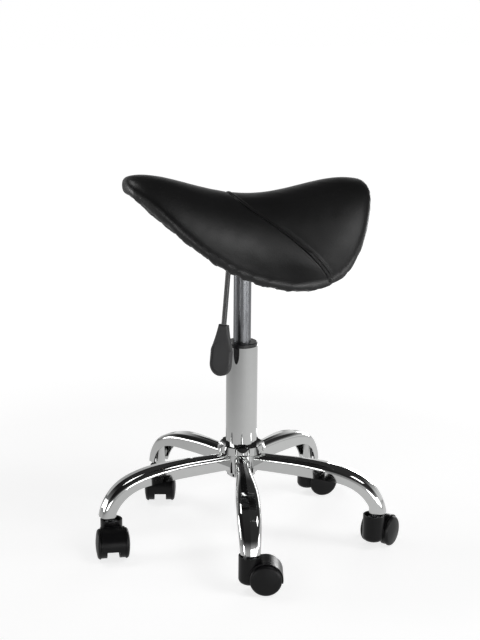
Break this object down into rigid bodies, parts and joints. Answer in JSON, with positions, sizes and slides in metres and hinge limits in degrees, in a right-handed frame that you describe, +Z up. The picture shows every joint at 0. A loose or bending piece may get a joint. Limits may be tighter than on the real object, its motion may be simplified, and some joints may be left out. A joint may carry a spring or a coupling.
{
  "type": "saddle stool",
  "caption": "Height adjustable saddle stool: padded saddle seat on a gas lift column, release lever with paddle, chromed star base on twin wheel casters.",
  "frame": {"origin": "on the floor under the axis of the column", "axes": "+Z up along the column; the nose of the saddle points to -Y; +X is the right hand side of someone sitting on it"},
  "size_m": [0.4703, 0.4863, 0.5947],
  "materials": {
    "chrome": "bright chrome plate",
    "cylinder_steel": "satin ground steel",
    "steel": "zinc plated steel",
    "bolt_steel": "blackened steel",
    "black_paint": "satin black powder coat",
    "paddle_plastic": "fine textured black plastic",
    "bush_plastic": "smooth black acetal",
    "cage_plastic": "natural nylon",
    "caster_nylon": "moulded black nylon",
    "wheel_nylon": "moulded black nylon",
    "rubber": "black rubber",
    "wood": "raw birch plywood",
    "foam": "open cell foam",
    "vinyl": "soft black vinyl, fine grain, satin",
    "dust_cloth": "black spun cloth"
  },
  "bodies": {
    "base": {"leg_1": "chrome", "leg_2": "chrome", "leg_3": "chrome", "leg_4": "chrome", "leg_5": "chrome", "caster_sockets": "chrome", "hub": "chrome", "hub_flange": "chrome", "column_tube": "chrome", "column_bush": "bush_plastic", "bearing_washer_lower": "steel", "bearing_cage": "cage_plastic", "bearing_balls": "steel", "caster_stem_1": "steel", "caster_stem_2": "steel", "caster_stem_3": "steel", "caster_stem_4": "steel", "caster_stem_5": "steel"},
    "spring_rod": {"bearing_washer_upper": "steel", "bumper": "rubber", "piston_rod": "steel", "piston": "steel", "retaining_clip": "steel"},
    "seat": {"gas_cylinder": "cylinder_steel", "taper_socket": "black_paint", "mechanism_plate": "black_paint", "lever_pin": "steel", "plate_bolts": "bolt_steel", "thread_inserts": "steel", "seat_block": "wood", "seat_board": "wood", "seat_foam": "foam", "cover_front": "vinyl", "cover_rear": "vinyl", "seam_welt": "vinyl", "dust_cover": "dust_cloth"},
    "lever": {"lever_rod": "black_paint", "lever_paddle": "paddle_plastic"},
    "release_pin": {"valve_pin": "steel"},
    "caster_1": {"caster_hood_1": "caster_nylon", "caster_axle_1": "steel"},
    "wheel_left_1": {"caster_wheel_left_1": "wheel_nylon"},
    "wheel_right_1": {"caster_wheel_right_1": "wheel_nylon"},
    "caster_2": {"caster_hood_2": "caster_nylon", "caster_axle_2": "steel"},
    "wheel_left_2": {"caster_wheel_left_2": "wheel_nylon"},
    "wheel_right_2": {"caster_wheel_right_2": "wheel_nylon"},
    "caster_3": {"caster_hood_3": "caster_nylon", "caster_axle_3": "steel"},
    "wheel_left_3": {"caster_wheel_left_3": "wheel_nylon"},
    "wheel_right_3": {"caster_wheel_right_3": "wheel_nylon"},
    "caster_4": {"caster_hood_4": "caster_nylon", "caster_axle_4": "steel"},
    "wheel_left_4": {"caster_wheel_left_4": "wheel_nylon"},
    "wheel_right_4": {"caster_wheel_right_4": "wheel_nylon"},
    "caster_5": {"caster_hood_5": "caster_nylon", "caster_axle_5": "steel"},
    "wheel_left_5": {"caster_wheel_left_5": "wheel_nylon"},
    "wheel_right_5": {"caster_wheel_right_5": "wheel_nylon"}
  },
  "joints": [
    {"name": "seat_swivel", "type": "hinge", "parent": "base", "child": "spring_rod", "pos_m": [0, 0, 0.105], "axis": [0, 0, 1], "continuous": true},
    {"name": "seat_lift", "type": "slide", "parent": "spring_rod", "child": "seat", "axis": [0, 0, 1], "range_m": [-0.105, 0]},
    {"name": "lever_lift", "type": "hinge", "parent": "seat", "child": "lever", "pos_m": [0.01312, -0.01509, 0.4758], "axis": [-0.7547, -0.6561, 0], "range_deg": [0, 6], "stiffness_Nm_per_rad": 2, "springref_deg": -8.59},
    {"name": "release_press", "type": "slide", "parent": "seat", "child": "release_pin", "axis": [0, 0, 1], "range_m": [-0.0022, 0]},
    {"name": "caster_swivel_1", "type": "hinge", "parent": "base", "child": "caster_1", "pos_m": [0.21405, -0.04628, 0.05], "axis": [0, 0, 1], "continuous": true},
    {"name": "wheel_left_roll_1", "type": "hinge", "parent": "caster_1", "child": "wheel_left_1", "pos_m": [0.22053, -0.02369, 0.024], "axis": [-0.9613, 0.2756, 0], "continuous": true},
    {"name": "wheel_right_roll_1", "type": "hinge", "parent": "caster_1", "child": "wheel_right_1", "pos_m": [0.22053, -0.02369, 0.024], "axis": [-0.9613, 0.2756, 0], "continuous": true},
    {"name": "caster_swivel_2", "type": "hinge", "parent": "base", "child": "caster_2", "pos_m": [0.11016, 0.18928, 0.05], "axis": [0, 0, 1], "continuous": true},
    {"name": "wheel_left_roll_2", "type": "hinge", "parent": "caster_2", "child": "wheel_left_2", "pos_m": [0.09413, 0.20646, 0.024], "axis": [-0.7314, -0.682, 0], "continuous": true},
    {"name": "wheel_right_roll_2", "type": "hinge", "parent": "caster_2", "child": "wheel_right_2", "pos_m": [0.09413, 0.20646, 0.024], "axis": [-0.7314, -0.682, 0], "continuous": true},
    {"name": "caster_swivel_3", "type": "hinge", "parent": "base", "child": "caster_3", "pos_m": [-0.14597, 0.16326, 0.05], "axis": [0, 0, 1], "continuous": true},
    {"name": "wheel_left_roll_3", "type": "hinge", "parent": "caster_3", "child": "wheel_left_3", "pos_m": [-0.14556, 0.18676, 0.024], "axis": [-0.9998, 0.0175, 0], "continuous": true},
    {"name": "wheel_right_roll_3", "type": "hinge", "parent": "caster_3", "child": "wheel_right_3", "pos_m": [-0.14556, 0.18676, 0.024], "axis": [-0.9998, 0.0175, 0], "continuous": true},
    {"name": "caster_swivel_4", "type": "hinge", "parent": "base", "child": "caster_4", "pos_m": [-0.20038, -0.08838, 0.05], "axis": [0, 0, 1], "continuous": true},
    {"name": "wheel_left_roll_4", "type": "hinge", "parent": "caster_4", "child": "wheel_left_4", "pos_m": [-0.17757, -0.09406, 0.024], "axis": [0.2419, 0.9703, 0], "continuous": true},
    {"name": "wheel_right_roll_4", "type": "hinge", "parent": "caster_4", "child": "wheel_right_4", "pos_m": [-0.17757, -0.09406, 0.024], "axis": [0.2419, 0.9703, 0], "continuous": true},
    {"name": "caster_swivel_5", "type": "hinge", "parent": "base", "child": "caster_5", "pos_m": [0.02213, -0.21788, 0.05], "axis": [0, 0, 1], "continuous": true},
    {"name": "wheel_left_roll_5", "type": "hinge", "parent": "caster_5", "child": "wheel_left_5", "pos_m": [0.0455, -0.22034, 0.024], "axis": [0.1045, 0.9945, 0], "continuous": true},
    {"name": "wheel_right_roll_5", "type": "hinge", "parent": "caster_5", "child": "wheel_right_5", "pos_m": [0.0455, -0.22034, 0.024], "axis": [0.1045, 0.9945, 0], "continuous": true}
  ],
  "couplings": [
    {"joint": "release_press", "follows": "lever_lift", "m_per_rad": -0.02}
  ]
}
